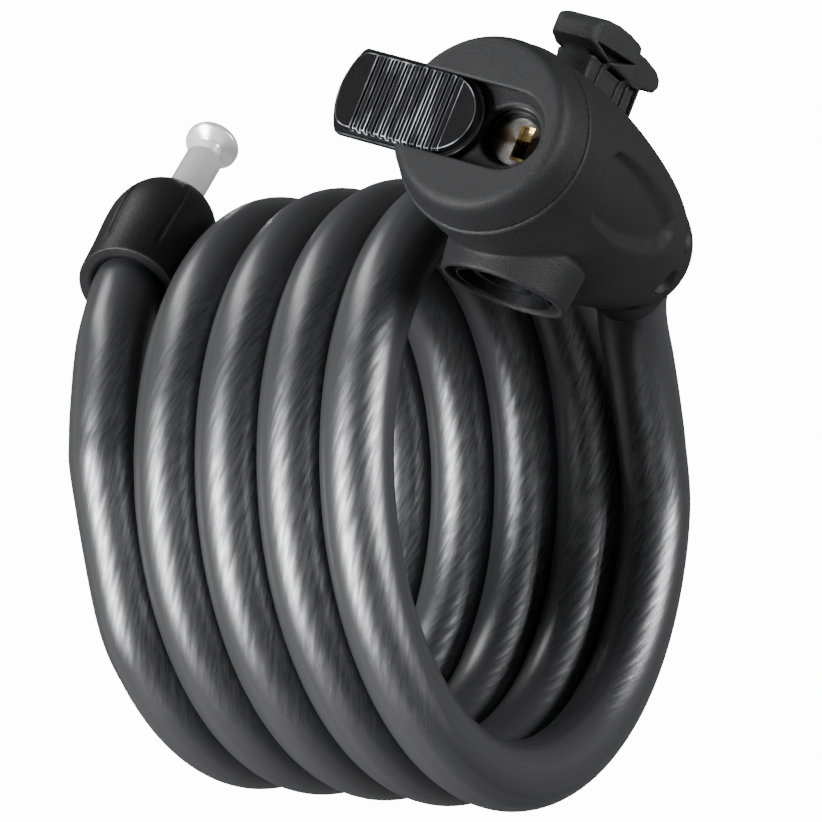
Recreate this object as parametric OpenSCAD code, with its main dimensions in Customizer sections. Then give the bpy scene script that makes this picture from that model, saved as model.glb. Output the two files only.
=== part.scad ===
/* [Cable] */
// outside diameter of the sheathed cable
cable_d = 12; // [8:0.5:15]
// mean radius of the turn next to the lock
coil_r = 48.5; // [40:0.1:60]
// how much smaller each further turn is
coil_taper = 0.94; // [0:0.02:2]
// distance between turns along the coil's axis
coil_pitch = 12.2; // [12.1:0.1:16]
// lean of the coil's axis below level
coil_tilt = 15.5; // [0:0.5:30]

/* [Lock head] */
// radius of the flat key face
face_r = 13.3; // [12:0.1:16]
// outside radius of the head at the seam between cap and shell
seam_r = 16.1; // [14:0.1:20]
// distance from the key face to the seam
seam_y = 7; // [5:0.1:12]
// wall thickness of the mouldings
wall = 2.2; // [1.6:0.1:3]
// rise of the tail above the key axis
tail_rise = 3.4; // [0:0.1:6]
// radius of the rounded tail
tail_r = 11.7; // [9:0.1:14]

/* [Dust cover] */
// width of the cover between its side lips
cover_w = 12.8; // [11:0.1:15]
// height of the cover above the channel's floor
cover_h = 3.2; // [2:0.1:4]
// how far the cover slides
cover_travel = 12.2; // [10:0.1:16]
// distance between grip ribs
rib_pitch = 1.6; // [1.2:0.1:2.5]
// number of grip ribs
rib_n = 10; // [6:1:14]

/* [Lock cylinder] */
// distance of the keyhole from the head's axis
key_x = 4.5; // [0:0.1:6]
// diameter of the turning plug
plug_d = 7.8; // [6:0.1:10]
// diameter of the cylinder's body
barrel_d = 12.8; // [11:0.1:16]
// width of the key slot
keyway_w = 2.4; // [1.4:0.1:2.6]

/* [Bracket tongue] */
// length of the tongue's stem along the head
stem_l = 20.5; // [16:0.5:30]
// thickness of the stem
stem_t = 6.6; // [5:0.1:12]
// height of the flange above the key axis
flange_z = 28.6; // [24:0.1:34]

/* [Plug] */
// diameter of the ferrule at its open end
ferrule_d = 17.4; // [14:0.1:18]
// length of the ferrule
ferrule_l = 25; // [18:0.5:35]
// diameter of the steel pin
pin_d = 6.6; // [5:0.1:8]
// diameter of the pin's mushroom head
pin_head_d = 9.6; // [7:0.1:10]
// length of pin that stands out of the ferrule
pin_l = 19.5; // [14:0.5:26]

/* [Hidden] */
$fn = 64;

// the origin is the middle of the tongue's flange top; the head's own axes start at the key face
mount_y = 34;
key_z = 0;
pin_x = 1;
pin_y = 28;
tail_y = 65;
gap = 0.3;
// the tongue's screws, the anchor's cross pin and the pin's narrow neck
screw_y = [27, 38];
screw_d = 2.4;
anchor_y = 45;
pin_neck_r = 2.1;
dimple_lean = [75, 116, 160];
dimple_turn = [-8, -11, 15];

cable_r = cable_d / 2;
coil_centre = [-3, 38, -68.6];
coil_yaw = 6.4;
coil_start = 15;
coil_axis = [-cos(coil_tilt) * cos(coil_yaw), cos(coil_tilt) * sin(coil_yaw), -sin(coil_tilt)];
coil_side = [sin(coil_yaw), cos(coil_yaw), 0];
coil_up = [-sin(coil_tilt) * cos(coil_yaw), sin(coil_tilt) * sin(coil_yaw), cos(coil_tilt)];
coil_front = 6;
coil_back = 46;

// the cable between the lock's tail and the first turn, and between the last turn and the plug
lead_route = [[-2.5, 37.5, -28.6], [-2.5, 45.4, -28.6], [-4.5, 52, -30], [-5.5, 58.5, -32.6],
  [-5.3, 65, -36.2], [-4.5, 72, -41.4], [-3.3, 78.5, -47.5]];
tail_route = [[-57.5, 1, -95], [-60.2, 0, -89], [-63, 0.3, -82.4], [-67, 2.3, -73.7],
  [-71, 7, -65.6], [-73.2, 10.3, -61.5]];
plug_start = [-73.2, 10.3, -61.5];
plug_lean = 37.8;
plug_turn = 111.7;

function turn_r(t) = coil_r - coil_taper * t;
function helix(t) = coil_centre + coil_pitch * t * coil_axis
  + turn_r(t) * (cos(coil_start - 360 * t) * coil_side + sin(coil_start - 360 * t) * coil_up);

lead_points = concat(lead_route, [for (t = [0 : 0.05 : 0.8]) helix(t)]);
tail_points = concat([for (t = [4.1 : 0.05 : 4.45]) helix(t)], tail_route);

function unit(v) = v / norm(v);
function heading(p, i) = unit(p[min(i + 1, len(p) - 1)] - p[max(i - 1, 0)]);
function ring(p, i, r, n) =
  let (along = heading(p, i))
  let (across = unit(cross(along, coil_axis)))
  let (third = cross(along, across))
  [for (k = [0 : n - 1]) p[i] + r * (cos(360 * k / n) * across + sin(360 * k / n) * third)];

// a round tube swept along a list of points, with n flat sides
module tube(p, r, n) {
  points = [for (i = [0 : len(p) - 1]) each ring(p, i, r, n)];
  first = [for (k = [n - 1 : -1 : 0]) k];
  last = [for (k = [0 : n - 1]) (len(p) - 1) * n + k];
  sides = [for (i = [0 : len(p) - 2]) each [for (k = [0 : n - 1])
    [i * n + k, i * n + (k + 1) % n, (i + 1) * n + (k + 1) % n, (i + 1) * n + k]]];
  polyhedron(points = points, faces = concat([first], sides, [last]), convexity = 10);
}

// head axes: x across the face, y back from the key face, z up to the tongue
module in_head() {
  translate([0, -mount_y, -flange_z]) children();
}

// turned solids lie along the head's y axis
module turned(x = 0, y = 0, z = 0) {
  translate([x, y, z]) rotate([-90, 0, 0]) rotate_extrude() children();
}

module y_rod(x, y, z, d, l) {
  translate([x, y, z]) rotate([-90, 0, 0]) cylinder(d = d, h = l);
}

module block(x0, x1, y0, y1, z0, z1) {
  translate([x0, y0, z0]) cube([x1 - x0, y1 - y0, z1 - z0]);
}

module in_plug() {
  translate(plug_start) rotate([0, plug_lean, plug_turn]) children();
}

// egg-shaped body of the shell, w smaller all round, rising towards the tail
module egg(w) {
  translate([0, 10, 0]) rotate([atan(tail_rise / (tail_y - 10)), 0, 0]) turned() polygon([[0, 0],
    [16.4 - w, 0], [16.7 - w, 6], [16.8 - w, 14], [16.6 - w, 22], [16 - w, 30], [15.1 - w, 38],
    [13.9 - w, 46], [12.6 - w, 52], [tail_r - w, 55.1], [10.6 - w, 60], [9.2 - w, 62.3],
    [7.2 - w, 64.3], [4.6, 65.9 - w], [2, 66.6 - w], [0, 66.8 - w]]);
}

// points outward from the tail's middle
module at_tail(lean, turn) {
  translate([0, tail_y, tail_rise]) rotate([0, lean, turn]) children();
}

module rear_shell() {
  color([0.15, 0.15, 0.16]) in_head() difference() {
    union() {
      y_rod(0, seam_y, 0, 2 * seam_r, 5);
      egg(0);
      translate([pin_x, pin_y, -19]) cylinder(d = 21.4, h = 10);
    }
    egg(wall);
    y_rod(0, seam_y - 1, 0, 2 * (seam_r - wall), 5);
    translate([pin_x, pin_y, -20]) cylinder(d = 16.4, h = 9);
    y_rod(-2.5, 70, 0, 14.4, 8);
    block(-stem_t / 2, stem_t / 2, 22.5, 22.5 + stem_l, 15.6, 30);
    block(-2.9, 2.9, 24, 41.5, 12, 20);
    y_rod(-2.5, 64, 0, 9.4, 8);
    for (y = screw_y) translate([0, y, 12]) cylinder(d = screw_d + 0.8, h = 6);
    for (k = [0 : 2]) at_tail(dimple_lean[k], dimple_turn[k]) cylinder(d = 4.4, h = 14);
  }
}

module channel(w, y0, y1) {
  y_rod(key_x + 0.4, y0, -0.2, w, y1 - y0);
  block(-20, key_x + 0.4, y0, y1, -0.2 - w / 2, -0.2 + w / 2);
}

module front_cap() {
  color([0.15, 0.15, 0.16]) in_head() difference() {
    turned() polygon([[0, 0], [face_r, 0], [face_r + 0.9, 0.35], [face_r + 1.5, 1.1],
      [face_r + 1.8, 2], [seam_r, seam_y - 0.2], [seam_r - wall - 0.1, seam_y - 0.2],
      [seam_r - wall - 0.1, 10.4], [seam_r - wall - 1.3, 10.4], [seam_r - wall - 1.3, 5.2],
      [0, 5.2]]);
    channel(cover_w + 2 * gap, -1, 2.1);
    channel(cover_w + 2 + 2 * gap, 1.9, 3.3);
    y_rod(key_x, 3, key_z, 10, 4);
  }
}

// cuts an outline drawn as y and z through the head from x0 to x1
module side_cut(x0, x1, points) {
  translate([x0, 0, 0]) rotate([90, 0, 90]) linear_extrude(height = x1 - x0) polygon(points);
}

module side_pockets(x0, x1) {
  side_cut(x0, x1, [[20.8, 22.9], [27.4, 22.4], [36, 25.3]]);
  side_cut(x0, x1, [[21.2, 21.3], [26.2, 21.3], [26.2, 17.8], [26.9, 17.8], [26.9, 22], [21.2, 22]]);
  side_cut(x0, x1, [[28.5, 21.4], [34.1, 21.4], [34.1, 17.8], [34.8, 17.8], [34.8, 22.1], [28.5, 22.1]]);
  side_cut(x0, x1, [[36.7, 17], [42.5, 17], [42.5, 22.9], [36.7, 22.3]]);
}

module bracket_tongue() {
  color([0.14, 0.14, 0.15]) in_head() difference() {
    union() {
      block(-stem_t / 2, stem_t / 2, 22.5, 22.5 + stem_l, 15.6, flange_z - 3);
      side_cut(-stem_t / 2 - 0.1, stem_t / 2 + 0.1, [[19.2, 22.6], [18.5, 23.6], [18.7, 25],
        [19.8, 26.3], [22.4, 27.3], [26.5, 28.2], [31, flange_z], [35.5, flange_z], [37.4, 28.2],
        [37.8, 22.8]]);
      side_cut(-stem_t / 2 + 0.4, stem_t / 2 - 0.4, [[37, 22.8], [37, 28.1], [42, 28.3],
        [46.5, 28.1], [48.4, 27.4], [49, 26.2], [48, 25], [43, 23.8]]);
      block(-2.7, 2.7, 24.2, 41.3, 12.5, 16);
    }
    for (y = screw_y) translate([0, y, 12]) cylinder(d = screw_d, h = 8);
    side_pockets(2.3, 5);
    side_pockets(-5, -2.3);
  }
}

module tongue_screw(y) {
  color([0.75, 0.75, 0.77]) in_head() union() {
    translate([0, y, 12.5]) cylinder(d = screw_d, h = 6.5);
    translate([0, y, 10.8]) cylinder(d = 5, h = 1.7);
  }
}

module lock_frame() {
  color([0.55, 0.55, 0.57]) in_head() difference() {
    union() {
      intersection() {
        block(-12, 12, 13.4, 20.8, -11, 8.4);
        y_rod(0, 13, 0, 25.4, 8);
      }
      intersection() {
        block(-12, 12, 20.8, 37, -11.2, 0.7);
        y_rod(0, 13, 0.8, 24.4, 25);
      }
      block(-8, 4, 36, 52, -6, 6);
    }
    y_rod(key_x, 12, key_z, barrel_d + 0.02, 6.5);
    y_rod(key_x, 18, key_z, 11, 4);
    translate([pin_x, pin_y, -13]) cylinder(d = 10.4, h = 15);
    translate([pin_x, pin_y, -13]) cylinder(d = 14.4, h = 8.8);
    y_rod(-2.5, 40, 0, cable_d - 3, 16);
    translate([-2.5, anchor_y, 0]) cylinder(d = 2.4, h = 8);
  }
}

module lock_barrel() {
  color([0.72, 0.66, 0.45]) in_head() difference() {
    y_rod(key_x, 5.3, key_z, barrel_d, 12.5);
    y_rod(key_x, 5, key_z, 9.2, 1.4);
    y_rod(key_x, 6, key_z, plug_d + 0.1, 13);
    block(key_x - 1.5, key_x + 1.5, 14.8, 19, key_z + 4.8, key_z + 8);
  }
}

module barrel_key() {
  color([0.6, 0.6, 0.62]) in_head() block(key_x - 1.5, key_x + 1.5, 14.8, 17.8, 4.8, 6.15);
}

module key_plug() {
  color([0.82, 0.76, 0.58]) in_head() difference() {
    union() {
      y_rod(key_x, 6.6, key_z, plug_d, 11.2);
      y_rod(key_x, 17.7, key_z, 4, 2.2);
    }
    block(key_x - 0.3, key_x - 0.3 + keyway_w, 6, 16.6, key_z - 3, key_z + 2.9);
    for (y = [8 : 2 : 14]) block(key_x - 1.55, key_x + 2.15, y, y + 1.2, key_z - 5, key_z + 5);
  }
}

module wafer(n) {
  color([0.83, 0.66, 0.32]) in_head() difference() {
    block(key_x - 1.3, key_x + 1.9, 6.15 + 2 * n, 7.05 + 2 * n, key_z - 2.9, key_z + 2.9);
    block(key_x - 0.3, key_x + 1.3, 6 + 2 * n, 7.2 + 2 * n, key_z - 2.1, key_z + 0.9);
  }
}

// the cam's peg starts 45 degrees to one side of straight up
module cam_disc() {
  color([0.7, 0.7, 0.72]) in_head() difference() {
    union() {
      y_rod(key_x, 18.2, key_z, 9.8, 1.4);
      y_rod(key_x - 1.98, 18.2, key_z + 1.98, 1.6, 5);
    }
    y_rod(key_x, 17, key_z, 4, 4);
  }
}

module latch_plate() {
  color([0.78, 0.78, 0.8]) in_head() difference() {
    block(pin_x - 9.6, pin_x + 6.8, 21.2, 34.6, 1.1, 3.3);
    translate([pin_x - 3.96, pin_y, 0]) cylinder(d = 9.8, h = 5);
    block(pin_x - 3.96, pin_x, pin_y - 2.4, pin_y + 2.4, 0, 5);
    translate([pin_x, pin_y, 0]) cylinder(d = 4.8, h = 5);
    block(key_x - 2.93, key_x - 1.03, 20, 23.6, 0, 5);
  }
}

module latch_guide() {
  color([0.6, 0.6, 0.62]) in_head() difference() {
    block(-7, 8, 20.8, 36, 3.7, 5.4);
    translate([pin_x, pin_y, 3]) cylinder(d = 9.8, h = 4);
    block(key_x - 4, key_x + 3.4, 20, 24.4, 3, 6);
  }
}

module guide_post(x) {
  color([0.7, 0.7, 0.72]) in_head() translate([x, 35.4, 0.7]) cylinder(d = 1, h = 3);
}

module socket_sleeve() {
  color([0.7, 0.7, 0.72]) in_head() difference() {
    translate([pin_x, pin_y, -18.6]) cylinder(d = 16.4, h = 5);
    translate([pin_x, pin_y, -19]) cylinder(d = 15.8, h = 4.7);
    translate([pin_x, pin_y, -19]) cylinder(d = 12.6, h = 8);
  }
}

module ejector_ring() {
  color([0.85, 0.85, 0.87]) in_head() difference() {
    union() {
      translate([pin_x, pin_y, -17.2]) cylinder(d = 12, h = 4.9);
      translate([pin_x, pin_y, -13.3]) cylinder(d = 13.8, h = 1);
    }
    translate([pin_x, pin_y, -18]) cylinder(d = 9.6, h = 8);
  }
}

module ejector_spring() {
  color([0.8, 0.8, 0.82]) in_head() difference() {
    translate([pin_x, pin_y, -12.3]) cylinder(d = 12.6, h = 8.1);
    translate([pin_x, pin_y, -13]) cylinder(d = 11, h = 12);
  }
}

module cable_anchor() {
  color([0.62, 0.62, 0.64]) in_head() difference() {
    y_rod(-2.5, 40, 0, cable_d - 3, 31.5);
    y_rod(-2.5, 52, 0, 6, 24);
    translate([-2.5, anchor_y, -3]) cylinder(d = 2.4, h = 8);
  }
}

module anchor_pin() {
  color([0.8, 0.8, 0.82]) in_head() translate([-2.5, anchor_y, -3]) cylinder(d = 2.4, h = 9.5);
}

module cable_gland() {
  color([0.1, 0.1, 0.1]) in_head() difference() {
    union() {
      y_rod(-2.5, 70, 0, 14.4, 7.4);
      y_rod(-2.5, 77.4, 0, 13.6, 1.6);
    }
    y_rod(-2.5, 69, 0, 12, 12);
  }
}

module dimple_plug(k) {
  color([0.1, 0.1, 0.1]) in_head() at_tail(dimple_lean[k], dimple_turn[k])
    translate([0, 0, 9.4]) cylinder(d = 4.4, h = 1.7);
}

module cover_outline(w, r) {
  intersection() {
    union() {
      translate([key_x + 0.4 - cover_travel, -0.2]) circle(d = w);
      translate([-40, -0.2 - w / 2]) square([40 + key_x + 0.4 - cover_travel, w]);
    }
    translate([-cover_travel, 0]) circle(r = r);
  }
}

module dust_cover() {
  color([0.08, 0.08, 0.09]) in_head() difference() {
    union() {
      translate([0, 2.3, 0]) rotate([90, 0, 0]) linear_extrude(height = cover_h - 0.9)
        cover_outline(cover_w, 14);
      translate([0, 3, 0]) rotate([90, 0, 0]) linear_extrude(height = 0.7)
        cover_outline(cover_w + 2, 14);
    }
    for (k = [0 : rib_n]) block(-21.6 + k * rib_pitch, -20.8 + k * rib_pitch, -1, 0.5, -7, 7);
  }
}

module cable_lead() {
  color([0.12, 0.12, 0.13]) tube(lead_points, cable_r, 12);
}

// one solid stands for the turns that lie side by side
module cable_coil() {
  color([0.12, 0.12, 0.13]) translate(coil_centre) rotate([0, 0, -coil_yaw])
    rotate([0, -coil_tilt, 0]) rotate([0, -90, 0]) rotate_extrude() polygon([
      [turn_r(coil_front / coil_pitch) - cable_r, coil_front],
      [turn_r(coil_front / coil_pitch) + cable_r, coil_front],
      [turn_r(coil_back / coil_pitch) + cable_r, coil_back],
      [turn_r(coil_back / coil_pitch) - cable_r, coil_back]]);
}

module cable_tail() {
  color([0.12, 0.12, 0.13]) tube(tail_points, cable_r, 12);
}

module plug_ferrule() {
  color([0.1, 0.1, 0.1]) in_plug() difference() {
    rotate_extrude() polygon([[0, 0], [ferrule_d / 2, 0], [ferrule_d / 2 + 0.4, 7],
      [ferrule_d / 2 + 0.8, ferrule_l - 10], [ferrule_d / 2 + 0.6, ferrule_l - 7.5],
      [ferrule_d / 2 - 0.2, ferrule_l - 4.4], [ferrule_d / 2 - 1.8, ferrule_l - 1.8],
      [ferrule_d / 2 - 4.2, ferrule_l], [0, ferrule_l]]);
    translate([0, 0, -1]) cylinder(d = cable_d, h = 1);
    cylinder(d = cable_d, h = 12);
    translate([0, 0, 11]) cylinder(d = 9, h = 9);
    translate([0, 0, 19]) cylinder(d = pin_d, h = 8);
  }
}

module plug_crimp() {
  color([0.6, 0.6, 0.62]) in_plug() difference() {
    translate([0, 0, 12]) cylinder(d = 9, h = 8);
    translate([0, 0, 15]) cylinder(d = 5, h = 8);
  }
}

module locking_pin() {
  color([0.85, 0.85, 0.87]) in_plug() rotate_extrude() polygon([[0, 15], [2.5, 15], [2.5, 20],
    [pin_d / 2, 20], [pin_d / 2, ferrule_l + pin_l - 6], [pin_neck_r, ferrule_l + pin_l - 5.4],
    [pin_neck_r, ferrule_l + pin_l - 2.6], [pin_head_d / 2, ferrule_l + pin_l - 1.8],
    [pin_head_d / 2, ferrule_l + pin_l - 0.8], [pin_head_d / 2 - 0.9, ferrule_l + pin_l],
    [0, ferrule_l + pin_l]]);
}

rear_shell();
front_cap();
bracket_tongue();
tongue_screw(screw_y[0]);  // tongue_screw_front
tongue_screw(screw_y[1]);  // tongue_screw_rear
lock_frame();
lock_barrel();
barrel_key();
key_plug();
wafer(1);  // wafer_1
wafer(2);  // wafer_2
wafer(3);  // wafer_3
wafer(4);  // wafer_4
cam_disc();
latch_plate();
latch_guide();
guide_post(-5.5);  // guide_post_1
guide_post(6.5);  // guide_post_2
socket_sleeve();
ejector_ring();
ejector_spring();
cable_anchor();
anchor_pin();
cable_gland();
dimple_plug(0);  // dimple_plug_1
dimple_plug(1);  // dimple_plug_2
dimple_plug(2);  // dimple_plug_3
dust_cover();
cable_lead();
cable_coil();
cable_tail();
plug_ferrule();
plug_crimp();
locking_pin();
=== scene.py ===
import math

import bpy
import numpy as np
from mathutils import Matrix, Vector


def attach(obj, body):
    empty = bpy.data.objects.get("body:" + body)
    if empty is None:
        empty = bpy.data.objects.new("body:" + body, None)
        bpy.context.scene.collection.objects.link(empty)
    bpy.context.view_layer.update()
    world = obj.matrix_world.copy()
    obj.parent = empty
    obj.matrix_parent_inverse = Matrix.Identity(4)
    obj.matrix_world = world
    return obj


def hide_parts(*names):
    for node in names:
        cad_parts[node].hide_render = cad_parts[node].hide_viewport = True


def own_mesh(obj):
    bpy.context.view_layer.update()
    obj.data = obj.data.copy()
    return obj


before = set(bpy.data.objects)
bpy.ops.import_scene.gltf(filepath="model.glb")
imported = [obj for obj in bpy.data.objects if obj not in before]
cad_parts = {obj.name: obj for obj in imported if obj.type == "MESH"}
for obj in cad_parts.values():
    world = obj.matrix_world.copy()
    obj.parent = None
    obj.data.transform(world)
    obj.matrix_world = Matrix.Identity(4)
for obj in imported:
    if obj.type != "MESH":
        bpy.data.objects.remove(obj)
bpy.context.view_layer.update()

MM = 0.001
HEAD = np.array([0.0, -34.0, -28.6])  # the head's own axes start at the key face
BELOW = -20  # a turned outline closes this far past its axis, so that the axis itself is no edge
SEAM_R, SEAM_Y, WALL, GAP = 16.1, 7.0, 2.2, 0.3
KEY_X, PIN_X, PIN_Y = 4.5, 1.0, 28.0
TRAVEL = 12.2
RIB = 1.32
TAIL = np.array([0.0, 65.0, 3.4])
AMBIENT, WHITE_WALL, WHITE_FLOOR = 0.13, 14, 12  # light from the surroundings, and what the camera sees
FLOOR_Z, FLOOR_HALF = -1.4, 9


# ---------------------------------------------------------------- camera, light and backdrop
def aim(obj, eye, right, up, back):
    m = Matrix([[right[i], up[i], back[i], eye[i]] for i in range(3)] + [[0, 0, 0, 1]])
    obj.matrix_world = m


camera = bpy.data.objects.new("camera", bpy.data.cameras.new("camera"))
bpy.context.scene.collection.objects.link(camera)
bpy.context.scene.camera = camera
camera.data.sensor_width = 36
camera.data.lens = 241.6
camera.data.clip_start = 0.05
camera.data.clip_end = 20
back = Vector((0.4503, -0.8757, -0.1741)).normalized()
up = Vector((-0.2570, -0.3139, 0.9140))
up = (up - up.dot(back) * back).normalized()
right = up.cross(back)
eye = Vector((0.3927, -0.7819, -0.2249))
aim(camera, eye, right, up, back)


LIT_SPOT = Vector((-0.02, 0.02, -0.06))


def softbox(name, where, size, power):
    """An area light aimed at LIT_SPOT, placed from it across, upwards and towards the viewer, in metres."""
    lamp = bpy.data.objects.new(name, bpy.data.lights.new(name, "AREA"))
    bpy.context.scene.collection.objects.link(lamp)
    lamp.data.shape = "RECTANGLE"
    lamp.data.size, lamp.data.size_y = size
    lamp.data.energy = power
    spot = LIT_SPOT + right * where[0] + up * where[1] + back * where[2]
    lamp.location = spot
    lamp.rotation_mode = "QUATERNION"
    lamp.rotation_quaternion = (LIT_SPOT - spot).to_track_quat("-Z", "Y")
    return lamp


softbox("key_light", (-0.78, -0.20, 0.58), (0.24, 0.95), 25)
softbox("rim_light", (-0.50, 0.85, -0.05), (0.9, 0.25), 5)
softbox("side_light", (0.86, 0.20, 0.42), (0.30, 0.5), 11)
softbox("front_light", (0.25, -0.15, 1.1), (0.3, 0.3), 0.35)


def seen_white(tree, kind, plain, white, out):
    """Joins a plain node for light and reflections with a white one for what the camera sees directly."""
    seen = tree.nodes.new(kind)
    seen.inputs["Color"].default_value = (1, 1, 1, 1)
    seen.inputs["Strength"].default_value = white
    mix = tree.nodes.new("ShaderNodeMixShader")
    path = tree.nodes.new("ShaderNodeLightPath")
    tree.links.new(path.outputs["Is Camera Ray"], mix.inputs["Fac"])
    tree.links.new(plain.outputs[0], mix.inputs[1])
    tree.links.new(seen.outputs[0], mix.inputs[2])
    tree.links.new(mix.outputs[0], out.inputs["Surface"])


world = bpy.data.worlds.new("studio")
bpy.context.scene.world = world
world.use_nodes = True
world.node_tree.nodes.clear()
soft = world.node_tree.nodes.new("ShaderNodeBackground")
soft.inputs["Color"].default_value = (1, 1, 1, 1)
soft.inputs["Strength"].default_value = AMBIENT
sky = world.node_tree.nodes.new("ShaderNodeOutputWorld")
seen_white(world.node_tree, "ShaderNodeBackground", soft, WHITE_WALL, sky)

floor_mesh = bpy.data.meshes.new("studio_floor")
floor_corners = [(x * FLOOR_HALF, y * FLOOR_HALF, FLOOR_Z) for x, y in ((-1, -1), (1, -1), (1, 1), (-1, 1))]
floor_mesh.from_pydata(floor_corners, [], [(0, 1, 2, 3)])
floor = bpy.data.objects.new("studio_floor", floor_mesh)
bpy.context.scene.collection.objects.link(floor)
pale = bpy.data.materials.new("pale_floor")
pale.use_nodes = True
pale.node_tree.nodes.clear()
matte = pale.node_tree.nodes.new("ShaderNodeBsdfDiffuse")
matte.inputs["Color"].default_value = (0.86, 0.86, 0.86, 1)
ground = pale.node_tree.nodes.new("ShaderNodeOutputMaterial")
seen_white(pale.node_tree, "ShaderNodeEmission", matte, WHITE_FLOOR, ground)
floor_mesh.materials.append(pale)


# ---------------------------------------------------------------- materials
class Nodes:
    """A small hand for wiring one material's nodes."""

    def __init__(self, name):
        self.material = bpy.data.materials.new(name)
        self.material.use_nodes = True
        self.tree = self.material.node_tree
        self.tree.nodes.clear()
        self.out = self.tree.nodes.new("ShaderNodeOutputMaterial")
        self.main = self.tree.nodes.new("ShaderNodeBsdfPrincipled")
        self.join(self.main, 0, self.out, "Surface")
        self.coords = self.tree.nodes.new("ShaderNodeTexCoord")

    def add(self, kind, **values):
        node = self.tree.nodes.new(kind)
        for key, value in values.items():
            if key in node.inputs:
                node.inputs[key].default_value = value
            else:
                setattr(node, key, value)
        return node

    def join(self, a, a_out, b, b_in):
        self.tree.links.new(a.outputs[a_out], b.inputs[b_in])

    def noise(self, scale, detail=4.0, rough=0.6, stretch=None, kind="Object"):
        node = self.add("ShaderNodeTexNoise", Scale=scale, Detail=detail, Roughness=rough)
        if stretch:
            mapping = self.add("ShaderNodeMapping")
            mapping.inputs["Scale"].default_value = stretch
            self.join(self.coords, kind, mapping, 0)
            self.join(mapping, 0, node, 0)
        else:
            self.join(self.coords, kind, node, 0)
        return node

    def ramp(self, source, output, low, high, place=(0.3, 0.7)):
        node = self.add("ShaderNodeValToRGB")
        node.color_ramp.elements[0].position = place[0]
        node.color_ramp.elements[1].position = place[1]
        node.color_ramp.elements[0].color = low
        node.color_ramp.elements[1].color = high
        self.join(source, output, node, 0)
        return node

    def span(self, source, output, low, high, place=(0.3, 0.7)):
        node = self.add("ShaderNodeMapRange")
        for key, value in zip(("From Min", "From Max", "To Min", "To Max"), (*place, low, high)):
            node.inputs[key].default_value = value
        self.join(source, output, node, 0)
        return node

    def bump(self, source, output, depth, strength=1.0, after=None):
        node = self.add("ShaderNodeBump", Strength=strength, Distance=depth)
        self.join(source, output, node, "Height")
        if after:
            self.join(after, 0, node, "Normal")
        return node


def grey(v, tint=0.0):
    return (v, v, v * (1 + tint), 1)


def plastic(name, tone, rough, grain, depth, tint=0.06, spread=0.12, worn_highlight_strength=0.45, worn_highlight_tone=None, thin=(0.3, 0.9),
            shine=0.4):
    """A moulded plastic: fine spark texture, a slow mottle, and paler, glossier edges that are partly wear
    and partly a painted highlight.

    The edges come from the wear_and_highlight attribute, so a piece that has none gets no paler edges.
    """
    m = Nodes(name)
    slow = m.noise(60, 3)
    fine = m.noise(grain, 2, 0.7)
    speck = m.noise(grain * 2.7, 1, 0.5)
    shade = m.ramp(slow, 0, grey(tone * (1 - spread), tint), grey(tone * (1 + spread), tint))
    # Edge sharpness picks where the paler edge colour goes: partly wear, partly a painted highlight on rims
    # and crests.
    wear_and_highlight = m.add("ShaderNodeAttribute", attribute_name="wear_and_highlight")
    worn_highlight_mask = m.add("ShaderNodeMath", operation="MULTIPLY")
    uneven = m.noise(1.0, 2, 0.6, (420, 260, 90))
    patchy = m.span(uneven, 0, 0.12 * worn_highlight_strength, worn_highlight_strength, (0.46, 0.64))
    edge = m.span(wear_and_highlight, "Fac", 0, 1, thin)
    m.join(edge, 0, worn_highlight_mask, 0)
    m.join(patchy, 0, worn_highlight_mask, 1)
    # The paler edge colour mixed in here is partly wear and partly a painted highlight.
    worn_highlight_colour = m.add("ShaderNodeMix", data_type="RGBA")
    worn_highlight_colour.inputs[7].default_value = grey(worn_highlight_tone or tone * 2.4 + 0.02, tint)
    m.join(worn_highlight_mask, 0, worn_highlight_colour, 0)
    m.join(shade, 0, worn_highlight_colour, 6)
    m.join(worn_highlight_colour, 2, m.main, "Base Color")
    gloss = m.span(fine, 0, rough - 0.06, rough + 0.08)
    lower = m.add("ShaderNodeMath", operation="MULTIPLY_ADD")
    lower.inputs[1].default_value = -0.2
    m.join(worn_highlight_mask, 0, lower, 0)
    m.join(gloss, 0, lower, 2)
    m.join(lower, 0, m.main, "Roughness")
    first = m.bump(fine, 0, depth)
    second = m.bump(speck, 0, depth * 0.4, 0.6, first)
    m.join(second, 0, m.main, "Normal")
    m.main.inputs["Specular IOR Level"].default_value = shine
    m.main.inputs["IOR"].default_value = 1.5
    return m.material


def metal(name, color, rough, lines=(1, 1, 1), depth=0.00001, spread=0.08, scale=900, purity=1.0):
    """A worked metal: tool marks and a slow change of tone. A purity under 1 mixes in a pale coating."""
    m = Nodes(name)
    slow = m.noise(120, 3)
    marks = m.noise(scale, 3, 0.7, lines)
    low = tuple(c * (1 - spread) for c in color) + (1,)
    high = tuple(min(1, c * (1 + spread)) for c in color) + (1,)
    shade = m.ramp(slow, 0, low, high)
    m.join(shade, 0, m.main, "Base Color")
    gloss = m.span(marks, 0, rough * 0.7, rough * 1.4)
    m.join(gloss, 0, m.main, "Roughness")
    first = m.bump(marks, 0, depth)
    m.join(first, 0, m.main, "Normal")
    m.main.inputs["Metallic"].default_value = purity
    return m.material


# The shell's rims and edges are painted paler: partly wear, partly a painted highlight along the rim.
shell_look = plastic("shell_look", 0.017, 0.50, 3600, 0.00010, worn_highlight_strength=0.3, worn_highlight_tone=0.045, shine=0.3)
tongue_look = plastic("tongue_look", 0.021, 0.60, 2400, 0.00018)
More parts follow.
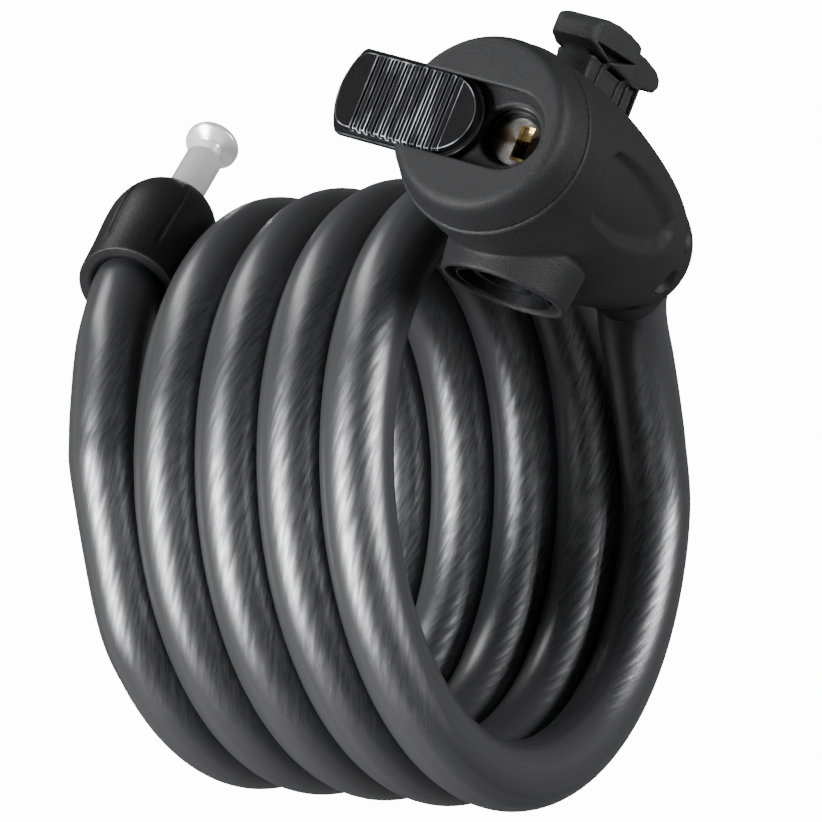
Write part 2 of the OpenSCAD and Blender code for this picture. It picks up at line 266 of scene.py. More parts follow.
# The cover's rib crests and edges are painted near-white: painted highlights standing for the glints on the
# crests.
cover_look = plastic("cover_look", 0.007, 0.36, 2400, 0.00009, worn_highlight_strength=1.0, worn_highlight_tone=0.95, thin=(0.42, 0.85),
                     shine=0.12)
ferrule_look = plastic("ferrule_look", 0.011, 0.42, 2000, 0.00005, shine=0.3)
gland_look = plastic("gland_look", 0.016, 0.55, 1800, 0.00003)
pin_look = metal("pin_look", (0.99, 0.99, 0.99), 0.2, (1, 1, 1), 0.00003, 0.01, 160, purity=0.5)
steel_look = metal("steel_look", (0.62, 0.62, 0.64), 0.3, (1, 8, 1))
spring_look = metal("spring_look", (0.5, 0.5, 0.52), 0.28)
zinc_look = metal("zinc_look", (0.5, 0.5, 0.52), 0.45, (1, 1, 1), 0.00002)
brass_look = metal("brass_look", (0.86, 0.63, 0.27), 0.26, (1, 6, 1))
# Near-black for the lock barrel: painted shade standing for the dark crescent around the plug in the key
# recess.
barrel_painted_shade_look = metal("barrel_painted_shade_look", (0.05, 0.05, 0.055), 0.4, (1, 6, 1))
# Near-black steel for the socket sleeve and ejector ring inside the hood: painted shade standing for the dark
# opening.
socket_painted_shade_look = metal("socket_painted_shade_look", (0.035, 0.035, 0.037), 0.5, (1, 1, 6))


def painted_fan_face_material():
    """A nickelled plug face, turned on a lathe and rubbed by keys; its colour is a radial fan of warm, pale
    and near-black metal, a painted reflection of the fan sheen such a face shows.
    """
    m = Nodes("nickel_painted_fan_look")
    centre = m.add("ShaderNodeMapping")
    centre.inputs["Location"].default_value = (-KEY_X * MM, 0.0286, 0)
    swap = m.add("ShaderNodeMapping")
    swap.inputs["Rotation"].default_value = (-math.pi / 2, 0, 0)
    m.join(m.coords, "Object", swap, 0)
    m.join(swap, 0, centre, 0)
    around = m.add("ShaderNodeTexGradient", gradient_type="RADIAL")
    m.join(centre, 0, around, 0)
    shade = m.add("ShaderNodeValToRGB")
    # These stops paint the fan: the pale and warm wedges are a painted reflection of the lit sheen, and the
    # near-black stretch is a painted dark reflection on the keyway side.
    painted_fan_stops = [(0.0, 0.26, 0.17, 0.11), (0.06, 0.55, 0.44, 0.35), (0.13, 0.95, 0.9, 0.84),
             (0.25, 1, 0.97, 0.93), (0.31, 0.3, 0.22, 0.15), (0.37, 0.03, 0.025, 0.02),
             (0.57, 0.05, 0.04, 0.03), (0.65, 0.6, 0.5, 0.36), (0.71, 1, 0.98, 0.95),
             (0.84, 0.92, 0.86, 0.78), (0.92, 0.4, 0.28, 0.2), (1.0, 0.26, 0.17, 0.11)]
    while len(shade.color_ramp.elements) < len(painted_fan_stops):
        shade.color_ramp.elements.new(0.5)
    for element, (place, r, g, b) in zip(shade.color_ramp.elements, painted_fan_stops):
        element.position = place
        element.color = (r, g, b, 1)
    m.join(around, "Fac", shade, 0)
    m.join(shade, 0, m.main, "Base Color")
    fan = m.noise(700, 3)
    fine = m.noise(1500, 2)
    gloss = m.span(fan, 0, 0.18, 0.28)
    m.join(gloss, 0, m.main, "Roughness")
    first = m.bump(fan, 0, 0.00002, 0.4)
    second = m.bump(fine, 0, 0.000006, 0.5, first)
    m.join(second, 0, m.main, "Normal")
    m.main.inputs["Metallic"].default_value = 1
    return m.material


nickel_painted_fan_look = painted_fan_face_material()


def sheath_material():
    """Smoked clear vinyl: the strands show through its thin front, and aslant its depth turns it grey."""
    m = Nodes("sheath_look")
    ripple = m.noise(1.0, 3, 0.5, (0.6, 30, 3), "UV")
    fine = m.noise(5200, 1)
    shade = m.ramp(ripple, 0, grey(0.036, 0.08), grey(0.048, 0.08))
    m.join(shade, 0, m.main, "Base Color")
    gloss = m.span(fine, 0, 0.28, 0.34)
    m.join(gloss, 0, m.main, "Roughness")
    first = m.bump(ripple, 0, 0.00008, 0.5)
    second = m.bump(fine, 0, 0.000003, 0.5, first)
    m.join(second, 0, m.main, "Normal")
    m.main.inputs["IOR"].default_value = 1.5
    facing = m.add("ShaderNodeLayerWeight")
    facing.inputs["Blend"].default_value = 0.5
    deep = m.span(facing, "Facing", 0.40, 0.98, (0.12, 0.36))
    m.join(deep, 0, m.main, "Alpha")
    m.main.inputs["Specular IOR Level"].default_value = 0.8
    return m.material


def strand_material():
    """Galvanised wire: each strand is itself twisted from fine wires, with dull and bright patches."""
    m = Nodes("strand_look")
    wires = m.add("ShaderNodeTexWave", Scale=1.0, Distortion=0.6, Detail=1.0)
    turn = m.add("ShaderNodeMapping")
    turn.inputs["Scale"].default_value = (1300, 60, 1)
    m.join(m.coords, "UV", turn, 0)
    m.join(turn, 0, wires, 0)
    patch = m.noise(1.0, 4, 0.6, (240, 48, 1), "UV")
    shade = m.ramp(patch, 0, grey(0.38, 0.04), grey(0.92, 0.03), (0.36, 0.68))
    m.join(shade, 0, m.main, "Base Color")
    gloss = m.span(patch, 0, 0.52, 0.42)
    m.join(gloss, 0, m.main, "Roughness")
    first = m.bump(wires, 1, 0.00004, 0.25)
    m.join(first, 0, m.main, "Normal")
    m.main.inputs["Metallic"].default_value = 1
    return m.material


sheath_look = sheath_material()
strand_look = strand_material()


# ---------------------------------------------------------------- meshes
def make(name, verts, faces, look, uv=None):
    """A mesh object from arrays of points in metres and of faces with equal corner counts."""
    verts, faces = np.asarray(verts, np.float32), np.asarray(faces, np.int32)
    n, k = faces.shape
    mesh = bpy.data.meshes.new(name)
    mesh.vertices.add(len(verts))
    mesh.vertices.foreach_set("co", verts.ravel())
    mesh.loops.add(n * k)
    mesh.loops.foreach_set("vertex_index", faces.ravel())
    mesh.polygons.add(n)
    mesh.polygons.foreach_set("loop_start", np.arange(0, n * k, k, dtype=np.int32))
    mesh.polygons.foreach_set("loop_total", np.full(n, k, np.int32))
    mesh.polygons.foreach_set("use_smooth", np.full(n, True))
    if uv is not None:
        layer = mesh.uv_layers.new(name="UVMap")
        layer.data.foreach_set("uv", np.asarray(uv, np.float32).ravel())
    mesh.update(calc_edges=True)
    mesh.validate()
    mesh.materials.append(look)
    obj = bpy.data.objects.new(name, mesh)
    bpy.context.scene.collection.objects.link(obj)
    return obj


def grid_faces(n, m):
    """Quads over n closed rings of m points."""
    i, k = np.meshgrid(np.arange(n - 1), np.arange(m), indexing="ij")
    i, k = i.ravel(), k.ravel()
    j = (k + 1) % m
    return np.stack([i * m + k, i * m + j, (i + 1) * m + j, (i + 1) * m + k], 1)


def smooth_line(points, step):
    """A Catmull-Rom curve through the points, with points at equal steps."""
    p = np.asarray(points, float)
    p = np.vstack([2 * p[0] - p[1], p, 2 * p[-1] - p[-2]])
    t = np.linspace(0, 1, 12, endpoint=False)[:, None]
    parts = []
    for i in range(1, len(p) - 2):
        a, b, c, d = p[i - 1 : i + 3]
        parts.append(0.5 * (2 * b + (c - a) * t + (2 * a - 5 * b + 4 * c - d) * t**2
                            + (3 * b - a - 3 * c + d) * t**3))
    q = np.vstack(parts + [p[-2][None]])
    s = np.concatenate([[0], np.cumsum(np.linalg.norm(np.diff(q, axis=0), axis=1))])
    n = max(2, int(round(s[-1] / step)) + 1)
    at = np.linspace(0, s[-1], n)
    return np.stack([np.interp(at, s, q[:, k]) for k in range(3)], 1), at


def sweep_axes(line):
    """Directions across a line that don't twist along it."""
    t = np.gradient(line, axis=0)
    t /= np.linalg.norm(t, axis=1)[:, None]
    a = np.zeros_like(t)
    first = np.cross(t[0], [0, 0, 1.0])
    a[0] = first / np.linalg.norm(first)
    for i in range(1, len(t)):
        v = a[i - 1] - (a[i - 1] @ t[i]) * t[i]
        a[i] = v / np.linalg.norm(v)
    return t, a, np.cross(t, a)


def sweep(name, line, at, radius, sides, look, twist=0.0):
    """A tube of the given radius (a number, or a function of length and angle) along a line."""
    t, a, b = sweep_axes(line)
    phi = np.linspace(0, 2 * np.pi, sides, endpoint=False)
    turn = phi[None, :] + twist * at[:, None]
    r = radius(at[:, None], phi[None, :]) if callable(radius) else np.full((len(at), sides), radius)
    across = np.cos(turn)[..., None] * a[:, None] + np.sin(turn)[..., None] * b[:, None]
    pts = line[:, None] + r[..., None] * across
    faces = grid_faces(len(line), sides)
    i, k = np.meshgrid(np.arange(len(line) - 1), np.arange(sides), indexing="ij")
    i, k = i.ravel(), k.ravel()
    u0, u1, v0, v1 = at[i], at[i + 1], k / sides, (k + 1) / sides
    uv = np.stack([np.stack(pair, 1) for pair in ((u0, v0), (u0, v1), (u1, v1), (u1, v0))], 1)
    return make(name, pts.reshape(-1, 3), faces[:, ::-1], look, uv[:, ::-1])


def turned(name, profile, look, place, sides=128, radial=None):
    """A turned solid: profile is (radius, height) in millimetres, place maps its points to the row frame."""
    p = np.asarray(profile, float)
    phi = np.linspace(0, 2 * np.pi, sides, endpoint=False)
    r = np.repeat(p[:, :1], sides, 1)
    if radial is not None:
        r = radial(r, p[:, 1:2], phi[None, :])
    pts = np.stack([r * np.cos(phi), r * np.sin(phi), np.repeat(p[:, 1:2], sides, 1)], 2)
    obj = make(name, place(pts.reshape(-1, 3)), grid_faces(len(p), sides), look)
    return obj


def rounded(points, radius, n=6):
    """A profile whose corners are eased by small curves."""
    p = np.asarray(points, float)
    outl = [p[0]]
    for a, b, c in zip(p[:-2], p[1:-1], p[2:]):
        la, lc = np.linalg.norm(a - b), np.linalg.norm(c - b)
        e0 = b + (a - b) * min(radius, 0.45 * la) / la
        e1 = b + (c - b) * min(radius, 0.45 * lc) / lc
        for t in np.linspace(0, 1, n):
            outl.append((1 - t) ** 2 * e0 + 2 * t * (1 - t) * b + t * t * e1)
    outl.append(p[-1])
    return np.array(outl)


def head_to_row(p):
    return (np.asarray(p, float) + HEAD) * MM


# ---------------------------------------------------------------- distance fields, in the head's millimetres
def smin(a, b, k):
    h = np.maximum(k - np.abs(a - b), 0) / k
    return np.minimum(a, b) - h * h * k / 4


def smax(a, b, k):
    return -smin(-a, -b, k)


def eased(x, y, e):
    """Joins two distances into one outside corner of radius e."""
    x, y = x + e, y + e
    return np.minimum(np.maximum(x, y), 0) + np.hypot(np.maximum(x, 0), np.maximum(y, 0)) - e


def rod(p, at, along, r, lo, hi, e=0.2):
    along = np.asarray(along, float) / np.linalg.norm(along)
    d = p - np.asarray(at, float)
    s = d @ along
    q = np.linalg.norm(d - s[:, None] * along, axis=1)
    return eased(q - r, np.abs(s - (lo + hi) / 2) - (hi - lo) / 2, e)


def block(p, low, high, e=0.2):
    low, high = np.asarray(low, float), np.asarray(high, float)
    d = np.abs(p - (low + high) / 2) - (high - low) / 2 + e
    return np.minimum(d.max(1), 0) + np.linalg.norm(np.maximum(d, 0), axis=1) - e


def outline(x, y, points):
    """Signed distance to a closed outline in a plane, negative inside."""
    p = np.asarray(points, float)
    d = np.full(x.shape, 1e9)
    side = np.ones(x.shape)
    for (ax, ay), (bx, by) in zip(p, np.roll(p, -1, 0)):
        ex, ey, wx, wy = bx - ax, by - ay, x - ax, y - ay
        t = np.clip((wx * ex + wy * ey) / max(ex * ex + ey * ey, 1e-12), 0, 1)
        d = np.minimum(d, (wx - ex * t) ** 2 + (wy - ey * t) ** 2)
        c1, c2, c3 = y >= ay, y < by, ex * wy > ey * wx
        side = np.where((c1 & c2 & c3) | (~c1 & ~c2 & ~c3), -side, side)
    return side * np.sqrt(d)


def slab(x, lo, hi):
    return np.abs(x - (lo + hi) / 2) - (hi - lo) / 2


FLAT_BEND, EDGE_BEND = 0.5, 2.2


def surface(name, field, low, high, step, look, near=0.3):
    """Meshes a distance field with surface nets, then pulls each point onto the field.

    The wear_and_highlight attribute is how sharply the surface bends outwards, felt over the distance near;
    the plastics paint paler edges from it, partly wear and partly a painted highlight.
    """
    ax = [np.arange(a, b + step, step) for a, b in zip(low, high)]
    shape = tuple(len(a) for a in ax)
    value = np.empty(shape, np.float32)
    yy, zz = np.meshgrid(ax[1], ax[2], indexing="ij")
    flat = np.stack([np.zeros(yy.size), yy.ravel(), zz.ravel()], 1)
    for i, x in enumerate(ax[0]):
        flat[:, 0] = x
        value[i] = field(flat).reshape(yy.shape)
    inside = value < 0
    corner = [(i, j, k) for i in (0, 1) for j in (0, 1) for k in (0, 1)]

    def part(a, c):
        return a[c[0] : shape[0] - 1 + c[0], c[1] : shape[1] - 1 + c[1], c[2] : shape[2] - 1 + c[2]]

    count = sum(part(inside, c).astype(np.int8) for c in corner)
    live = np.argwhere((count > 0) & (count < 8))
    index = np.full(tuple(s - 1 for s in shape), -1, np.int64)
    index[tuple(live.T)] = np.arange(len(live))
    total, hits = np.zeros((len(live), 3)), np.zeros(len(live))
    for c in corner:
        for axis in range(3):
            if c[axis]:
                continue
            d = list(c)
            d[axis] = 1
            va = value[tuple((live + c).T)].astype(float)
            vb = value[tuple((live + d).T)].astype(float)
            cross = (va < 0) != (vb < 0)
            t = np.where(cross, va / np.where(cross, va - vb, 1), 0)
            spot = live + np.array(c, float)
            spot[:, axis] += t
            total += np.where(cross[:, None], spot, 0)
            hits += cross
    pts = np.array(low, float) + step * total / hits[:, None]
    faces = []
    for axis in range(3):
        b, c = (axis + 1) % 3, (axis + 2) % 3
        lo_side = [slice(None)] * 3
        hi_side = [slice(None)] * 3
        lo_side[axis], hi_side[axis] = slice(0, -1), slice(1, None)
        first, second = inside[tuple(lo_side)], inside[tuple(hi_side)]
        at = np.argwhere(first != second)
        at = at[(at[:, b] > 0) & (at[:, c] > 0) & (at[:, b] < shape[b] - 1) & (at[:, c] < shape[c] - 1)]
        out_first = first[tuple(at.T)]
        ub, uc = np.eye(3, dtype=int)[b], np.eye(3, dtype=int)[c]
        quad = np.stack([index[tuple((at - o).T)] for o in (ub + uc, uc, 0 * ub, ub)], 1)
        quad = np.where(out_first[:, None], quad, quad[:, ::-1])
        faces.append(quad)
    for _ in range(3):
        e = step * 0.15
        d = field(pts)
        g = np.stack([(field(pts + e * w) - field(pts - e * w)) / (2 * e) for w in np.eye(3)], 1)
        g2 = np.maximum((g * g).sum(1), 0.25)
        move = (d / g2)[:, None] * g
        size = np.linalg.norm(move, axis=1)
        pts = pts - move * np.minimum(1, 0.6 * step / np.maximum(size, 1e-9))[:, None]
    obj = make(name, head_to_row(pts), np.vstack(faces), look)
    bend = (sum(field(pts + q * w) for w in np.eye(3) for q in (-near, near)) - 6 * field(pts)) / near**2
    # Edge sharpness, which the plastics turn into paler edges: partly wear, partly a painted highlight.
    wear_and_highlight = obj.data.attributes.new("wear_and_highlight", "FLOAT", "POINT")
    sharp = np.clip((bend * near / 0.3 - FLAT_BEND) / EDGE_BEND, 0, 1)
    wear_and_highlight.data.foreach_set("value", sharp.astype(np.float32))
    return obj


# ---------------------------------------------------------------- the cable
CENTRE = np.array([-3.0, 38.0, -68.6])
LEAN, YAW, START = math.radians(15.5), math.radians(6.4), math.radians(15)
PITCH, COIL_R, TAPER, TURNS = 12.2, 48.5, 0.94, 4.451
AXIS = np.array([-math.cos(LEAN) * math.cos(YAW), math.cos(LEAN) * math.sin(YAW), -math.sin(LEAN)])
SIDE = np.array([math.sin(YAW), math.cos(YAW), 0])
UP = np.array([-math.sin(LEAN) * math.cos(YAW), math.sin(LEAN) * math.sin(YAW), math.cos(LEAN)])


def helix(t):
    a = START - 2 * math.pi * t
    return CENTRE + PITCH * t * AXIS + (COIL_R - TAPER * t) * (math.cos(a) * SIDE + math.sin(a) * UP)


lead = [(-2.5, 37.5, -28.6), (-2.5, 45.4, -28.6), (-4.5, 52, -30), (-5.5, 58.5, -32.6), (-5.3, 65, -36.2),
        (-4.5, 72, -41.4), (-3.3, 78.5, -47.5)]
tail = [(-57.5, 1, -95), (-60.2, 0, -89), (-63, 0.3, -82.4), (-67, 2.3, -73.7), (-71, 7, -65.6),
        (-73.2, 10.3, -61.5)]
PLUG = np.array(tail[-1], float)
PLUG_LEAN, PLUG_TURN = math.radians(37.8), math.radians(111.7)
PLUG_DIR = np.array([math.cos(PLUG_TURN) * math.sin(PLUG_LEAN), math.sin(PLUG_TURN) * math.sin(PLUG_LEAN),
                     math.cos(PLUG_LEAN)])
route = lead + [tuple(helix(t)) for t in np.arange(0, TURNS, 1 / 24)] + tail + [tuple(PLUG + 8 * PLUG_DIR)]
RING_STEP, CABLE_R = 0.0015, 0.006
line, at = smooth_line(np.array(route) * MM, RING_STEP)

cable = sweep("cable_sheath", line, at, CABLE_R, 48, sheath_look)
STRANDS, LAY, STRANDS_R, FLUTE = 16, 0.068, 0.00505, 0.00005


def lobes(s, phi):
    """Radius of the strand bundle: one round back for each strand."""
    return STRANDS_R + FLUTE * np.abs(np.cos(STRANDS / 2 * phi)) ** 0.8


strands = sweep("cable_strands", line, at, lobes, STRANDS * 8, strand_look, twist=2 * math.pi / LAY)
for piece, slot_name in ((cable, "sheath"), (strands, "strand")):
    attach(piece, "head")
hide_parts("cable_lead", "cable_coil", "cable_tail")


# ---------------------------------------------------------------- the plug on the cable's end
def plug_place(p):
    cz, sz, cy, sy = math.cos(PLUG_TURN), math.sin(PLUG_TURN), math.cos(PLUG_LEAN), math.sin(PLUG_LEAN)
    turn = np.array([[cz, -sz, 0], [sz, cz, 0], [0, 0, 1]]) @ np.array([[cy, 0, sy], [0, 1, 0], [-sy, 0, cy]])
    return (p @ turn.T + PLUG) * MM


FERRULE_R, FERRULE_L, PIN_R, HEAD_R, PIN_L = 8.7, 25.0, 3.3, 4.8, 19.5
GROOVES, GROOVE_TURN, GROOVE_DEPTH = 6, math.radians(14), 0.42


def ferrule_grooves(r, h, phi):
    """Shallow V grooves along the barrel."""
    inside = np.clip((h - 3.4) / 3.0, 0, 1) * np.clip((FERRULE_L - 3.2 - h) / 3.0, 0, 1) * (r > 6.5)
    for middle in np.arange(GROOVES) * 2 * math.pi / GROOVES + GROOVE_TURN:
        off = np.abs((phi - middle + math.pi) % (2 * math.pi) - math.pi)
        r = r - GROOVE_DEPTH * inside * np.clip(1.0 - off / 0.07, 0, 1)
    return r


barrel = [(FERRULE_R + 0.12, 0.5), (FERRULE_R + 0.4, 7), (FERRULE_R + 0.75, 12), (FERRULE_R + 0.85, 16),
          (FERRULE_R + 0.45, 19), (FERRULE_R - 0.45, 21.6), (FERRULE_R - 1.8, 23.5), (FERRULE_R - 3.2, 24.6),
          (PIN_R + 0.9, FERRULE_L)]
barrel = smooth_line([(r, h, 0) for r, h in barrel], 0.5)[0][:, :2]
ferrule_profile = np.vstack([rounded([(6.02, 3), (6.02, 1.0), (6.6, 0.2), (7.1, 0), (FERRULE_R - 0.1, 0),
                                      (FERRULE_R + 0.1, 0.15)], 0.25), barrel,
                             [(PIN_R + 0.05, FERRULE_L - 0.1), (PIN_R + 0.05, FERRULE_L - 2)]])
ferrule = turned("ferrule", ferrule_profile, ferrule_look, plug_place, 288, ferrule_grooves)
top = FERRULE_L + PIN_L
pin_profile = rounded([(0.001, 15), (2.5, 15), (2.5, 20), (PIN_R, 20), (PIN_R, top - 6), (2.1, top - 5.4),
                       (2.1, top - 2.6), (HEAD_R, top - 1.9), (HEAD_R, top - 0.9), (HEAD_R - 0.9, top),
                       (0.001, top + 0.02)], 0.35)
pin = turned("pin_with_mushroom_head", pin_profile, pin_look, plug_place, 96)
for piece, node, slot_name in ((ferrule, "plug_ferrule", "ferrule"), (pin, "locking_pin", "pin")):
    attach(piece, "head")
    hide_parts(node)


# ---------------------------------------------------------------- the head's shell
TILT = math.atan(3.4 / 55)
egg_points = [(0, 16.4), (6, 16.7), (14, 16.8), (22, 16.6), (30, 16.0), (38, 15.1), (46, 13.9), (52, 12.6),
              (55.1, 11.7), (60, 10.6), (62.3, 9.2), (64.3, 7.2), (65.9, 4.6), (66.6, 2.0), (66.8, 0)]
egg_curve = smooth_line([(s, r, 0) for s, r in egg_points], 1.2)[0][:, :2]
egg_outline = np.vstack([[(-6, BELOW), (-6, 16.3)], egg_curve[:-1], [(66.8, 0), (66.8, BELOW)]])


def egg(p, w):
    y, z = p[:, 1] - 10, p[:, 2]
    s = y * math.cos(TILT) + z * math.sin(TILT)
    h = -y * math.sin(TILT) + z * math.cos(TILT)
    return outline(s, np.hypot(p[:, 0], h), egg_outline) + w


pad_points = [(14.4, 0.6), (16.3, 4.5), (19.5, 6.8), (28.6, 7.8), (39.8, 7.9), (46.5, 7.8), (50.6, 6.6),
              (52.4, 4.2), (52.2, 1.8), (49.4, -1.3), (43.3, -3.8), (36, -5.3), (30.8, -6.1), (22.8, -6.3),
              (18.6, -5.6), (15.5, -3.2)]
PAD_DEPTH, DIMPLE_R = 1.5, 2.5


def thumb_dent(p):
    """A shallow oval pad on each side of the body, crisp at its front and faint at its back."""
    d = outline(p[:, 1], p[:, 2], pad_points)
    t = np.clip(-d / (0.9 + 0.10 * np.clip(p[:, 1] - 14, 0, 30)), 0, 1)
    return PAD_DEPTH * t * t * (3 - 2 * t) * (np.abs(p[:, 0]) > 5)


def dimple_axis(lean, turn):
    lean, turn = math.radians(lean), math.radians(turn)
    return np.array([math.sin(lean) * math.cos(turn), math.sin(lean) * math.sin(turn), math.cos(lean)])


def dimple(p, lean, turn):
    return rod(p, TAIL, dimple_axis(lean, turn), DIMPLE_R, 4, 15, 0.1)


DIMPLES = [(75, -8), (116, -11), (160, 15)]


def shell_field(p):
    x, y, z = p.T
    ring = eased(np.hypot(x, z) - SEAM_R, slab(y, SEAM_Y, 14), 0.1)
    body = smin(smax(egg(p, 0), SEAM_Y - y, 0.5), ring, 0.6)
    body = body + thumb_dent(p)
    q = np.hypot(x - PIN_X, y - PIN_Y)
    rim = q - (10.7 + np.clip((z + 19) / 7, 0, 1) * 0.9)
    hood = np.maximum(eased(rim, np.abs(z + 15.2) - 3.8, 0.25), eased(rim, z + 11.4, 1.0))
    body = smin(body, hood, 0.25)
    hollow = np.minimum(egg(p, WALL), rod(p, (0, 0, 0), (0, 1, 0), SEAM_R - WALL, 4, 12, 0.1))
    body = smax(body, -hollow, 0.3)
    body = smax(body, -rod(p, (PIN_X, PIN_Y, 0), (0, 0, 1), 8.2, -24, -11, 0.1), 0.5)
    body = smax(body, -rod(p, (PIN_X, PIN_Y, 0), (0, 0, 1), 9.75, -24, -17.2, 0.3), 0.2)
    body = smax(body, -rod(p, (-2.5, 0, 0), (0, 1, 0), 7.2, 70, 80, 0.1), 0.4)
    body = smax(body, -block(p, (-2.9, 24, 12), (2.9, 41.5, 20)), 0.2)
    for lean, turn in DIMPLES:
        body = smax(body, -dimple(p, lean, turn), 0.5)
    return body


shell = surface("head_shell", shell_field, (-18.5, 6.2, -20.2), (18.5, 78, 21.5), 0.42, shell_look)
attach(shell, "head")
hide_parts("rear_shell")

for number, (lean, turn) in enumerate(DIMPLES, 1):
    axis = dimple_axis(lean, turn)
    reach = np.linspace(6, 16, 400)
    deep = egg(TAIL + reach[:, None] * axis, 0)
    h = float(reach[np.argmax(deep > 0)]) - 0.35
    aside = np.cross(axis, [0, 1.0, 0])
    aside /= np.linalg.norm(aside)
    basis = np.stack([aside, np.cross(axis, aside), axis])
    cup_profile = rounded([(0.001, 5), (2.2, 5), (2.42, 5.3), (2.42, h - 0.5), (2.3, h - 0.4), (1.9, h - 0.7),
                           (1.3, h - 1.1), (0.6, h - 1.35), (0.001, h - 1.4)], 0.15)
    cup = turned("dimple_cup_%d" % number, cup_profile, shell_look,
                 lambda q: head_to_row(TAIL + q @ basis), 48)
    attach(cup, "head")
    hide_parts("dimple_plug_%d" % number)


# ---------------------------------------------------------------- the front cap, its channel and key recess
CAP_END, SKIRT_R = SEAM_Y - 0.12, SEAM_R - WALL - 0.1
cap_front = rounded([(0, BELOW), (0, 13.3), (0.3, 14.1), (1.0, 14.7), (2, 15.05), (CAP_END, SEAM_R)], 0.6)
cap_outline = np.vstack([cap_front, [(CAP_END, SKIRT_R), (10.4, SKIRT_R), (10.4, SKIRT_R - 1.2),
                                     (5.2, SKIRT_R - 1.2), (5.2, BELOW)]])
COVER_W, LIPS_W, CHANNEL_END = 12.8, 14.8, KEY_X + 0.4


def pill(x, z, end, w):
    """Distance to a slot of width w, open towards -x, with its round end's middle at x = end."""
    return np.where(x > end, np.hypot(x - end, z + 0.2), np.abs(z + 0.2)) - w / 2


def cap_field(p):
    x, y, z = p.T
    body = outline(y, np.hypot(x, z), cap_outline)
    body = smax(body, -smax(pill(x, z, CHANNEL_END, COVER_W + 2 * GAP), y - 3.3, 0.2), 0.22)
    body = smax(body, -np.maximum(pill(x, z, CHANNEL_END, LIPS_W + 2 * GAP), slab(y, 1.1, 3.3)), 0.1)
    return smax(body, -rod(p, (KEY_X, 0, 0), (0, 1, 0), 5.0, -2, 7, 0.1), 0.5)


cap = surface("front_cap_moulding", cap_field, (-17, -0.9, -17), (17, 11.2, 17), 0.3, shell_look)
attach(cap, "head")
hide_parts("front_cap")


# ---------------------------------------------------------------- the ribbed dust cover
def cover_field(p):
    x, y, z = p.T
    end = CHANNEL_END - TRAVEL
    arc = np.hypot(x + TRAVEL, z) - 14
    plan = smax(pill(x, z, end, COVER_W), arc + 0.9, 1.6) - 0.3 * np.clip(y - 0.2, 0, 0.8)
    lips = smax(pill(x, z, end, LIPS_W), arc, 0.5)
    raised = smax(plan, slab(y, 0, 2.8), 0.2)
    body = np.minimum(raised, eased(lips, slab(y, 1.3, 3.0), 0.3))
    ribs = (x + 21.4) / RIB
    crest = np.abs((ribs % 1) - 0.5) * 2
    ribbed = np.clip((x + 21.7) / 0.2, 0, 1) * np.clip((-5.0 - x) / 0.2, 0, 1)
    region = ribbed * np.clip((0.9 - y) / 0.3, 0, 1)
    return body + np.clip((0.42 - crest) / 0.2, 0, 1) * 0.45 * region


cover = surface("dust_cover_slide", cover_field, (-27.2, -0.6, -8.3), (0.5, 3.5, 8.1), 0.12, cover_look,
                near=0.13)
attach(cover, "cover")
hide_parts("dust_cover")


# ---------------------------------------------------------------- the bracket tongue
flange_outline = [(18.9, 23.0), (18.4, 23.9), (18.7, 25), (19.8, 26.3), (22.4, 27.4), (26.5, 28.2),
                  (31, 28.6), (35.5, 28.6), (37.4, 28.2), (38.0, 24.2), (37.6, 22.8), (20.5, 22.6)]
rear_outline = [(36, 22.8), (36, 28.0), (42, 28.3), (46.5, 28.1), (48.4, 27.4), (49, 26.2), (48, 25),
                (43, 23.8)]
wedge = [(20.2, 23.2), (27.2, 22.2), (36.1, 25.4)]
side_grooves = [[(21.1, 21.4), (26.2, 21.4), (26.0, 16.6), (26.7, 16.6), (26.9, 22), (21.1, 21.9)],
                [(28.4, 21.3), (34.1, 21.6), (33.9, 16.6), (34.6, 16.6), (34.8, 22.2), (28.4, 21.9)],
                [(36.7, 16.4), (42.5, 16.4), (42.4, 23.1), (36.7, 22.2)]]


def tongue_field(p):
    x, y, z = p.T
    side = np.abs(x)
    plan = eased(side - 4.2, np.abs(y - 28.2) - 9.9, 2.4)
    flange = smax(outline(y, z, flange_outline) - 0.25, plan, 0.7)
    rear = smax(outline(y, z, rear_outline) - 0.2, side - 3.4, 0.8)
    stem = block(p, (-3.3, 22.5, 14), (3.3, 43.3, 26), 0.7)
    body = smin(smin(flange, stem, 2.4), rear, 0.15)
    body = smax(body, -np.maximum(outline(y, z, wedge), 2.2 - side), 0.25)
    for cut in side_grooves:
        body = smax(body, -np.maximum(outline(y, z, cut), 2.3 - side), 0.25)
    rib = block(p, (-2.9, 38.8, 14), (2.9, 39.5, 24), 0.1)
    return np.minimum(body, rib)


tongue = surface("bracket_tongue_moulding", tongue_field, (-4.9, 17.2, 13.6), (4.9, 50, 29.4), 0.19,
                 tongue_look)
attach(tongue, "head")
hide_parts("bracket_tongue")


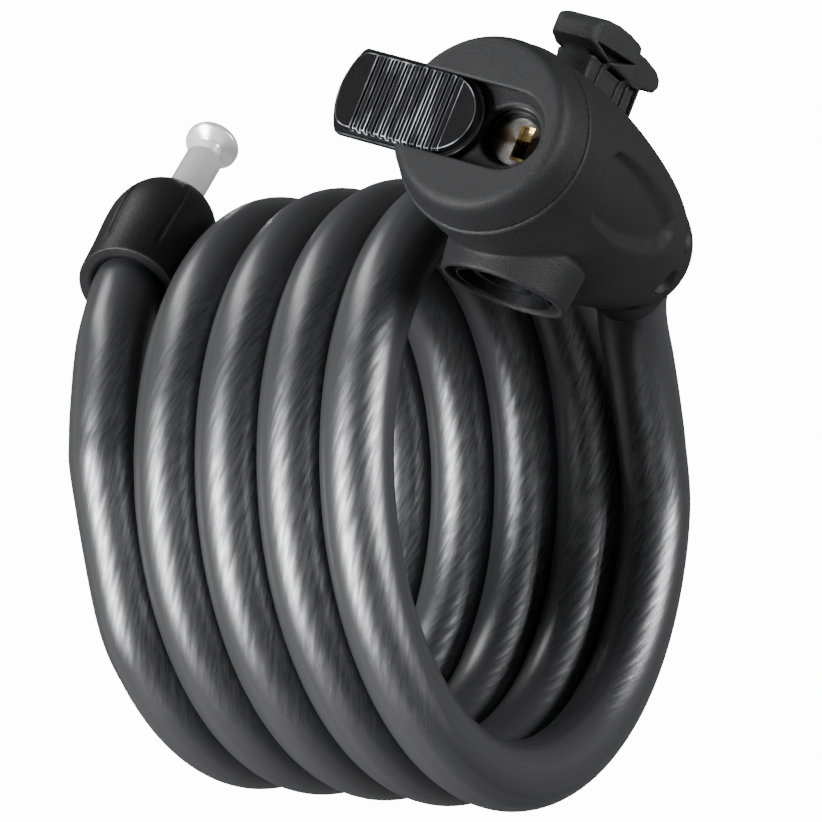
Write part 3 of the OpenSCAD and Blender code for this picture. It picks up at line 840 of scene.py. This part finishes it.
# ---------------------------------------------------------------- the gland where the cable leaves
def along_head(p):
    return head_to_row(np.stack([p[:, 0] - 2.5, p[:, 2], p[:, 1]], 1))


gland_profile = rounded([(6.02, 70.2), (7.15, 70.2), (7.2, 76.6), (6.9, 77.2), (7.0, 78), (6.7, 79),
                         (6.02, 79), (6.02, 74)], 0.3)
gland = turned("gland_ring", gland_profile, gland_look, along_head, 96)
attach(gland, "head")
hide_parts("cable_gland")


# ---------------------------------------------------------------- the ejector spring as a real coil of wire
def coil_spring(name, middle, r, wire, low, high, turns, look):
    t = np.linspace(0, 1, int(turns * 40))
    a = 2 * math.pi * turns * t
    ease = np.clip(np.minimum(t, 1 - t) * turns, 0, 1)
    rise = np.cumsum(0.08 + 0.92 * ease)
    z = low + (high - low) * (rise - rise[0]) / (rise[-1] - rise[0])
    p = np.stack([middle[0] + r * np.cos(a), middle[1] + r * np.sin(a), z], 1)
    line_mm = head_to_row(p)
    s = np.concatenate([[0], np.cumsum(np.linalg.norm(np.diff(line_mm, axis=0), axis=1))])
    return sweep(name, line_mm, s, wire * MM, 12, look)


spring = coil_spring("ejector_spring_wire", (PIN_X, PIN_Y), 5.9, 0.35, -11.9, -4.6, 5.5, spring_look)
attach(spring, "head")
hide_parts("ejector_spring")
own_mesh(spring)


# ---------------------------------------------------------------- finishes for the CAD nodes that stay
looks = {
    "tongue_screw_front": steel_look, "tongue_screw_rear": steel_look, "lock_frame": zinc_look,
    # The lock barrel takes painted shade.
    "lock_barrel": barrel_painted_shade_look, "barrel_key": zinc_look, "key_plug": nickel_painted_fan_look, "cam_disc": zinc_look,
    "latch_plate": steel_look, "latch_guide": zinc_look, "guide_post_1": steel_look,
    "guide_post_2": steel_look,
    # The socket parts inside the hood take painted shade.
    "socket_sleeve": socket_painted_shade_look, "ejector_ring": socket_painted_shade_look, "cable_anchor": zinc_look,
    "anchor_pin": steel_look,
    "plug_crimp": zinc_look,
}
for node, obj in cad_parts.items():
    look = looks.get(node)
    if node.startswith("wafer"):
        look = brass_look
    if node.startswith("dimple"):
        look = shell_look
    if look:
        obj.data.materials.clear()
        obj.data.materials.append(look)
